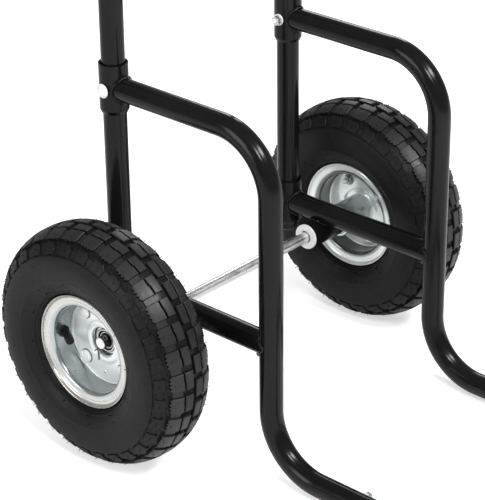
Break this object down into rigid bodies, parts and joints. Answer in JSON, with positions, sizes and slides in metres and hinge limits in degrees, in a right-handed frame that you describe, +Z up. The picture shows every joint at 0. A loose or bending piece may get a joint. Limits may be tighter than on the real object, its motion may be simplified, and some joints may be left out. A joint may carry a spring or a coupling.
{
  "type": "fireside log cart",
  "caption": "Steel-tube fireside log cart on two air-filled wheels, with a tall bow handle, open bent-tube side frames and a flat toe that the logs rest on.",
  "frame": {"origin": "on the floor under the middle of the whole cart's box", "axes": "+Z up; -Y points to the toe where logs lie; the axle runs along X and the wheels are at +Y"},
  "size_m": [0.51, 0.6274, 1.041],
  "materials": {
    "frame_paint": "gloss black powder coat",
    "zinc": "bright zinc plate",
    "axle_steel": "drawn bar, bright zinc",
    "bearing_steel": "ground",
    "tyre_rubber": "moulded rubber",
    "rubber": "satin",
    "foam": "matt foam",
    "black_plastic": "moulded"
  },
  "bodies": {
    "frame": {"left_side_tube": "frame_paint", "left_brace": "frame_paint", "left_upper_sleeve": "frame_paint", "left_lower_sleeve": "frame_paint", "left_axle_tube": "frame_paint", "left_inner_races": "bearing_steel", "right_side_tube": "frame_paint", "right_brace": "frame_paint", "right_upper_sleeve": "frame_paint", "right_lower_sleeve": "frame_paint", "right_axle_tube": "frame_paint", "right_inner_races": "bearing_steel", "axle_tube_bushes": "black_plastic", "axle": "axle_steel", "axle_washers": "zinc", "hub_spacers": "zinc", "cotter_pins": "axle_steel", "handle_bow": "frame_paint", "handle_grip": "foam", "leg_plugs": "black_plastic", "sleeve_bolts": "zinc", "sleeve_washers": "zinc", "sleeve_nuts": "zinc", "toe_bow": "frame_paint", "toe_bolts": "zinc", "toe_washers": "zinc", "toe_nuts": "zinc", "toe_glides": "black_plastic"},
    "left_wheel": {"left_tyre": "tyre_rubber", "left_inner_tube": "rubber", "left_valve_stem": "rubber", "left_valve_cap": "black_plastic", "left_rim_outer": "zinc", "left_rim_inner": "zinc", "left_hub": "zinc", "left_rim_bolts": "zinc", "left_rim_nuts": "zinc", "left_outer_races": "bearing_steel", "left_bearing_seals": "rubber"},
    "left_ball_set": {"left_balls": "bearing_steel"},
    "right_wheel": {"right_tyre": "tyre_rubber", "right_inner_tube": "rubber", "right_valve_stem": "rubber", "right_valve_cap": "black_plastic", "right_rim_outer": "zinc", "right_rim_inner": "zinc", "right_hub": "zinc", "right_rim_bolts": "zinc", "right_rim_nuts": "zinc", "right_outer_races": "bearing_steel", "right_bearing_seals": "rubber"},
    "right_ball_set": {"right_balls": "bearing_steel"}
  },
  "joints": [
    {"name": "left_wheel_spin", "type": "hinge", "parent": "frame", "child": "left_wheel", "pos_m": [-0.214, 0.18125, 0.1325], "axis": [1, 0, 0], "continuous": true},
    {"name": "left_ball_roll", "type": "hinge", "parent": "frame", "child": "left_ball_set", "pos_m": [-0.214, 0.18125, 0.1325], "axis": [1, 0, 0], "continuous": true},
    {"name": "right_wheel_spin", "type": "hinge", "parent": "frame", "child": "right_wheel", "pos_m": [0.214, 0.18125, 0.1325], "axis": [1, 0, 0], "continuous": true},
    {"name": "right_ball_roll", "type": "hinge", "parent": "frame", "child": "right_ball_set", "pos_m": [0.214, 0.18125, 0.1325], "axis": [1, 0, 0], "continuous": true}
  ],
  "couplings": [
    {"joint": "left_ball_roll", "follows": "left_wheel_spin", "ratio": 0.6311},
    {"joint": "right_ball_roll", "follows": "right_wheel_spin", "ratio": 0.6311}
  ]
}
